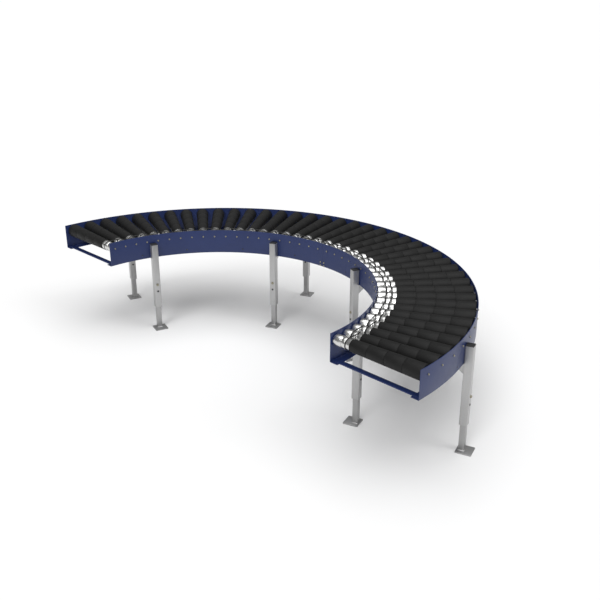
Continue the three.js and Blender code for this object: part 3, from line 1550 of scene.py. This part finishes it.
@dataclass
class DriveBelts:
    """Round belts that join neighbouring rollers in alternate grooves."""

    shop: Workshop
    groove_radii: tuple[float, float]
    belt_radius: float = 0.0028
    pitch_radius: float = 0.0270
    arc_steps: int = 14
    sides: int = 8

    def loop(self, index: int) -> list[Vector]:
        """The closed path of the belt between a roller and the next.

        Args:
            index: Number of the first of the two rollers.

        Returns:
            The path's points, in order.
        """
        layout = self.shop.layout
        place = self.groove_radii[(index + 1) % 2]
        up = Vector((0, 0, 1))
        points = []
        for roller, sense in ((index, -1), (index + 1, 1)):
            angle = layout.roller_angle(roller)
            axle = layout.outward(angle)
            away = Vector((axle.y, -axle.x, 0)) * sense
            middle = layout.centre + axle * place + up * layout.axle_height
            for step in range(self.arc_steps + 1):
                turn = math.pi * (0.5 - step / self.arc_steps) * -sense
                arm = away * math.cos(turn) + up * math.sin(turn)
                points.append(middle + arm * self.pitch_radius)
        return points

    def build(self) -> None:
        """Builds all belts as one piece."""
        paths = bpy.data.meshes.new("belt_paths")
        points, edges = [], []
        for index in range(len(self.shop.layout.rollers) - 1):
            loop = self.loop(index)
            first = len(points)
            points.extend(loop)
            edges.extend((first + i, first + (i + 1) % len(loop)) for i in range(len(loop)))
        paths.from_pydata(points, edges, [])
        mesh = self.shop.belts.run(
            paths, belt_radius=self.belt_radius, sides=self.sides, finish=self.shop.finishes.belt
        )
        face_outward(mesh)
        shade(mesh, 60)
        keep("drive_belts", mesh, ROOT_BODY)


@dataclass
class Fasteners:
    """Axle ends, axle screws and splice bolts."""

    shop: Workshop
    web: float = 0.003
    axle_corners: float = 0.0127
    axle_reach: float = 0.020
    head_flats: float = 0.0085
    head_height: float = 0.0042
    seat_radius: float = 0.0047
    seat_height: float = 0.0004
    splice_half: float = 0.014
    splice_heights: tuple[float, ...] = (0.008, 0.027)

    def screw(self) -> Shell:
        """A hexagon head on its bearing face.

        Returns:
            The head, standing along +X from the origin.
        """
        corner = self.head_flats / 2 / math.cos(math.pi / 6)
        base, top = self.seat_height, self.seat_height + self.head_height
        shell = Shell().turned([(0, self.seat_radius), (base, self.seat_radius)], 16)
        return shell.turned(
            [(base, corner), (top - 0.0008, corner), (top, corner * 0.84)], 6
        )

    def axle_end(self) -> Shell:
        """A hexagon axle end, standing along +X.

        Returns:
            The axle end, from the web's middle into the roller.
        """
        corner = self.axle_corners / 2
        tip = self.axle_reach
        return Shell().turned([(0, corner), (tip - 0.001, corner), (tip, corner * 0.86)], 6)

    def rows(
        self,
        part: bpy.types.Mesh,
        radii: tuple[float, float],
        turns: tuple[float, float],
        material: bpy.types.Material,
    ) -> bpy.types.Mesh:
        """A part at every axle on both sides of the lane.

        Args:
            part: The part, standing along +X.
            radii: The inner row's radius and the outer row's.
            turns: The angle about Z that each row's copies are turned by.
            material: Its finish.

        Returns:
            One mesh with both rows.
        """
        layout = self.shop.layout
        return joined(
            [
                self.shop.copied(
                    part, material, radius, layout.axle_height, layout.roller_angle(0),
                    layout.pitch, len(layout.rollers), turn,
                )
                for radius, turn in zip(radii, turns)
            ],
            "rows",
        )

    def splice_bolts(self) -> bpy.types.Mesh:
        """Four bolts on each side at the joint of the sections.

        Returns:
            One mesh with all bolts.
        """
        layout, material = self.shop.layout, self.shop.finishes.fastener
        rows = []
        for radius, turn in ((layout.inner_radius, math.pi), (layout.outer_radius, 0.0)):
            half = self.splice_half / radius
            for lift in self.splice_heights:
                rows.append(
                    self.shop.copied(
                        self.screw().mesh("screw"), material, radius, layout.rail_bottom + lift,
                        layout.section_angle - half, 2 * half, 2, turn,
                    )
                )
        return joined(rows, "splice_bolts")

    def build(self) -> None:
        """Builds each kind of fastener as one piece."""
        layout, finishes = self.shop.layout, self.shop.finishes
        inner, outer = layout.inner_radius, layout.outer_radius
        screws = self.rows(
            self.screw().mesh("screw"), (inner, outer), (math.pi, 0.0), finishes.fastener
        )
        keep("axle_screws", screws, ROOT_BODY)
        ends = self.rows(
            self.axle_end().mesh("axle_end"), (inner + self.web / 2, outer - self.web / 2),
            (0.0, math.pi), finishes.foot,
        )
        keep("axle_ends", ends, ROOT_BODY)
        keep("splice_bolts", self.splice_bolts(), ROOT_BODY)


@dataclass
class Legs:
    """Eight telescopic legs: posts on the rails, and feet that slide in them."""

    shop: Workshop
    stations: tuple[int, ...] = (4, 15)
    post: float = 0.040
    post_wall: float = 0.0025
    post_corner: float = 0.0045
    post_bottom: float = 0.145
    post_top: float = 0.560
    cap: float = 0.004
    guide: float = 0.020
    guide_clearance: float = 0.0004
    gusset_reach: float = 0.060
    gusset_drop: float = 0.060
    gusset_sheet: float = 0.005
    gusset_toe: float = 0.008
    seat_width: float = 0.036
    seat_sheet: float = 0.004
    seat_corner: float = 0.005
    foot: float = 0.030
    foot_wall: float = 0.0025
    foot_corner: float = 0.0035
    foot_top: float = 0.412
    plate: float = 0.080
    plate_sheet: float = 0.006
    plate_corner: float = 0.005
    plate_offset: float = 0.016
    weld: float = 0.004
    lock_heights: tuple[float, float] = (0.296, 0.2525)
    gap: float = 0.0003

    def angles(self) -> list[float]:
        """The legs' angles along the curve.

        Returns:
            The angles, from the first open end on.
        """
        layout = self.shop.layout
        first = [layout.station(0, s) for s in self.stations]
        return first + [layout.station(1, s) for s in reversed(self.stations)]

    def frame_of(self, side: Side, angle: float) -> Matrix:
        """A leg's frame: its origin on the floor under the post, and the rail towards +X.

        Args:
            side: The side of the lane.
            angle: The leg's angle along the curve.

        Returns:
            The matrix from the leg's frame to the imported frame.
        """
        layout = self.shop.layout
        half = self.post / 2
        if side is Side.INNER:
            fall = half * math.tan(layout.pitch / 2)
            return layout.place(angle, layout.inner_radius - fall - self.gap - half)
        turn = Matrix.Rotation(math.pi, 4, "Z")
        return layout.place(angle, layout.outer_radius + self.gap + half) @ turn

    def post_mesh(self) -> bpy.types.Mesh:
        """The post's tube with its welded gusset and seat, in the leg's frame.

        Returns:
            The post's mesh.
        """
        layout = self.shop.layout
        half = self.post / 2
        outer = rounded_square(self.post, self.post_corner)
        inner = rounded_square(self.post - 2 * self.post_wall, self.post_corner - self.post_wall)
        tube = Shell().tube(outer, inner, self.post_bottom, self.post_top - self.cap)
        top = layout.rail_bottom - self.gap - self.seat_sheet
        reach, toe = half + self.gusset_reach, top - self.gusset_toe
        outline = [
            (half, top, 0),
            (half, top - self.gusset_drop, 0.004),
            (reach, toe, 0.003),
            (reach, top, 0),
        ]
        sheet = self.gusset_sheet / 2
        web = Shell().prism(rounded(outline, 3), -sheet, sheet)
        web.placed(Matrix.Rotation(math.pi / 2, 4, "X"))
        wide, round_end = self.seat_width / 2, self.seat_corner
        outline = [
            (half, -wide, 0),
            (reach, -wide, round_end),
            (reach, wide, round_end),
            (half, wide, 0),
        ]
        seat = Shell().prism(rounded(outline, 3), top, top + self.seat_sheet)
        parts = [tube.mesh("post"), web.mesh("gusset"), seat.mesh("seat")]
        return eased(joined(parts, "post"), 0.0006)

    def foot_mesh(self) -> bpy.types.Mesh:
        """The foot's tube, its weld and its plate, in the leg's frame.

        Returns:
            The foot's mesh.
        """
        outer = rounded_square(self.foot, self.foot_corner)
        inner = rounded_square(self.foot - 2 * self.foot_wall, self.foot_corner - self.foot_wall)
        tube = Shell().tube(outer, inner, self.plate_sheet, self.foot_top)
        plate = Shell().prism(rounded_square(self.plate, self.plate_corner), 0, self.plate_sheet)
        plate.placed(Matrix.Translation((-self.plate_offset, 0, 0)))
        bead = Shell()
        loops = []
        for grow, lift in ((1.0, 0.0), (0.75, 0.45), (0.35, 0.8), (0.02, 1.0)):
            size = self.foot + 2 * self.weld * grow
            ring = rounded_square(size, self.foot_corner + self.weld * grow)
            loops.append([Vector((x, y, self.plate_sheet + self.weld * lift)) for x, y in ring])
        inside = rounded_square(self.foot, self.foot_corner)
        loops.append([Vector((x, y, self.plate_sheet + self.weld)) for x, y in inside])
        loops.append([Vector((x, y, self.plate_sheet)) for x, y in inside])
        bead.loft(loops, wrap=True)
        sharp = joined([tube.mesh("tube"), plate.mesh("plate")], "foot")
        return joined([eased(sharp, 0.0007), bead.mesh("bead", 60)], "foot")

    def trim_mesh(self) -> bpy.types.Mesh:
        """The post's cap and the guide in its mouth, in the leg's frame.

        Returns:
            The mesh of both.
        """
        loops = []
        for shrink, height in ((0.0, 0.0), (0.0, 0.55), (0.0008, 0.85), (0.0022, 1.0)):
            size = self.post - 2 * shrink
            outline = rounded_square(size, self.post_corner)
            height = self.post_top - self.cap + self.cap * height
            loops.append([Vector((x, y, height)) for x, y in outline])
        cap = Shell().loft(loops)
        outer = rounded_square(self.post - 2 * self.post_wall, self.post_corner - self.post_wall)
        inner = rounded_square(self.foot + 2 * self.guide_clearance, self.foot_corner)
        guide = Shell().tube(outer, inner, self.post_bottom + 0.0005, self.post_bottom + self.guide)
        return joined([cap.mesh("cap", 40), guide.mesh("guide", 40)], "trim")

    def lock_mesh(self, dark: bool) -> bpy.types.Mesh:
        """The lock bolts on a post, in the leg's frame.

        Args:
            dark: True for the black socket screws, False for the plated hexagon bolts.

        Returns:
            The bolts' mesh.
        """
        half = self.post / 2
        shell = Shell()
        if not dark:
            washer, head, round_off = 0.0012, 0.0050, 0.0008
            face, corner = -half - washer, 0.0075
            top = face - head
            shell.turned([(face, 0.0085), (-half, 0.0085)], 20)
            shell.turned([(top, 0.0062), (top + round_off, corner), (face, corner)], 6)
            shell.placed(Matrix.Translation((0, 0, self.lock_heights[0])))
            return shell.mesh("lock_bolt", 30)
        outer, socket, height, round_off, depth = 0.0058, 0.0030, 0.0024, 0.0008, 0.0006
        for sign in (-1, 1):
            first = len(shell.points)
            face, proud = sign * half, sign * (half + height)
            outline = [
                (face, socket),
                (face, outer),
                (proud - sign * round_off, outer),
                (proud, outer - round_off),
                (proud, socket),
            ]
            shell.ring(outline, 20)
            shell.turned([(face, socket), (face + sign * depth, socket)], 6)
            shell.placed(Matrix.Translation((0, 0, self.lock_heights[1])), first)
        return shell.mesh("socket_screw", 30)

    def seat_screws(self) -> bpy.types.Mesh:
        """The screws up through the seat into the flange, in the leg's frame.

        Returns:
            The screws' mesh.
        """
        top = self.shop.layout.rail_bottom - self.gap - self.seat_sheet
        corner, washer, head = 0.0058, 0.0012, 0.0052
        out = self.post / 2 + self.gusset_reach * 0.55
        shell = Shell()
        for side in (-1, 1):
            first = len(shell.points)
            shell.turned([(0, 0.0070), (washer, 0.0070)], 16)
            shell.turned([(washer, corner), (head - 0.0008, corner), (head, corner * 0.85)], 6)
            spot = Vector((out, side * self.seat_width * 0.29, top))
            shell.placed(Matrix.Translation(spot) @ Matrix.Rotation(math.pi / 2, 4, "Y"), first)
        return shell.mesh("seat_screws", 30)

    def build(self) -> None:
        """Builds and dresses every leg."""
        finishes = self.shop.finishes
        post, foot = self.post_mesh(), self.foot_mesh()
        shared = {
            "post_caps": (self.trim_mesh(), finishes.plastic, Slot.PLASTIC),
            "lock_bolts": (self.lock_mesh(False), finishes.fastener, Slot.FASTENER),
            "socket_screws": (self.lock_mesh(True), finishes.plastic, Slot.PLASTIC),
            "seat_screws": (self.seat_screws(), finishes.fastener, Slot.FASTENER),
        }
        places = []
        for side in Side:
            for i, angle in enumerate(self.angles(), 1):
                matrix = self.frame_of(side, angle)
                places.append(matrix)
                for part, label, material, slot, body in (
                    (post, "post", finishes.post, Slot.POST, ROOT_BODY),
                    (foot, "foot", finishes.foot, Slot.FOOT, f"{side.label}_foot_{i}"),
                ):
                    mesh = dressed(moved(part, matrix), material)
                    node = f"{side.label}_{label}_{i}"
                    keep(f"{node}_steel", mesh, body, [node])
        for name, (part, material, slot) in shared.items():
            mesh = joined([moved(part, matrix) for matrix in places], name)
            keep(name, dressed(mesh, material), ROOT_BODY)


# ---------------------------------------------------------------------------------------------
# Studio
# ---------------------------------------------------------------------------------------------


def aim(thing: bpy.types.Object, direction: Vector) -> None:
    """Turns a light or camera to look along a direction.

    Args:
        thing: The light or camera.
        direction: The direction it looks along.
    """
    thing.rotation_mode = "QUATERNION"
    thing.rotation_quaternion = direction.to_track_quat("-Z", "Y")


@dataclass(frozen=True)
class SoftSun:
    """A far soft light, given by where it comes from."""

    name: str
    azimuth: float
    elevation: float
    spread: float
    strength: float

    def build(self) -> None:
        """Adds the light."""
        lamp = bpy.data.lights.new(self.name, "SUN")
        lamp.angle = math.radians(self.spread)
        lamp.energy = self.strength
        turn, rise = math.radians(self.azimuth), math.radians(self.elevation)
        level = math.cos(rise)
        source = Vector((math.cos(turn) * level, math.sin(turn) * level, math.sin(rise)))
        aim(linked(self.name, lamp), -source)


@dataclass
class Studio:
    """A pale floor, soft light and the camera."""

    layout: Layout
    camera_offset: Vector = Vector((3.15394, -2.45493, 2.15119))
    camera_forward: Vector = Vector((-0.65227, 0.65440, -0.38250))
    lens: float = 48.64
    sensor: float = 36.0
    sight: float = 1000.0
    floor_size: float = 600.0
    floor_grey: float = 0.88
    ambient: float = 0.24
    suns: tuple[SoftSun, ...] = (
        SoftSun("overhead", 0, 86, 68, 1.85),
        SoftSun("front_left", -70, 42, 26, 1.05),
        SoftSun("right", 18, 45, 28, 0.5),
    )

    def floor(self) -> None:
        """A large matt floor at height 0."""
        half = self.floor_size / 2
        mesh = bpy.data.meshes.new("floor")
        corners = [(-half, -half, 0), (half, -half, 0), (half, half, 0), (-half, half, 0)]
        mesh.from_pydata(corners, [], [(0, 1, 2, 3)])
        maker = MaterialMaker("pale_floor")
        colour = (self.floor_grey, self.floor_grey, self.floor_grey, 1)
        mesh.materials.append(
            maker.finish(base_color=colour, roughness=0.95, specular_ior_level=0.0)
        )
        linked("floor", mesh)

    def camera(self) -> None:
        """The camera, with a level horizon and no shift."""
        data = bpy.data.cameras.new("camera")
        data.lens = self.lens
        data.sensor_width = self.sensor
        data.clip_end = self.sight
        camera = linked("camera", data)
        camera.location = self.layout.centre + self.camera_offset
        aim(camera, self.camera_forward)
        bpy.context.scene.camera = camera

    def sky(self) -> None:
        """Even grey light from all round, that looks white where it is seen directly."""
        world = bpy.data.worlds.new("studio")
        world.use_nodes = True
        world.node_tree.nodes.clear()
        maker = TreeMaker(world.node_tree)
        seen = maker.signal("ShaderNodeLightPath", output="Is Camera Ray")
        strength = seen * (1.0 - self.ambient) + self.ambient
        light = maker.signal(
            "ShaderNodeBackground", {}, {"Color": (1, 1, 1, 1), "Strength": strength}
        )
        out = world.node_tree.nodes.new("ShaderNodeOutputWorld")
        world.node_tree.links.new(light.socket, out.inputs["Surface"])
        bpy.context.scene.world = world

    def build(self) -> None:
        """Builds the studio."""
        self.camera()
        self.floor()
        self.sky()
        for sun in self.suns:
            sun.build()
        bpy.context.scene.view_settings.view_transform = "Standard"


def main() -> None:
    """Builds the camera and studio, then every sub-assembly in order."""
    logging.basicConfig(level=logging.INFO, format="%(message)s")
    layout = Layout.read()
    Studio(layout).build()
    shop = Workshop(layout, Finishes.build(), CopiesAlongCurve(), BentBar(), RoundBelts())
    rollers = Rollers(shop)
    belts = DriveBelts(shop, rollers.groove_radii)
    for assembly in (SideRails(shop), rollers, belts, Fasteners(shop), Legs(shop)):
        assembly.build()


if __name__ == "__main__":
    main()
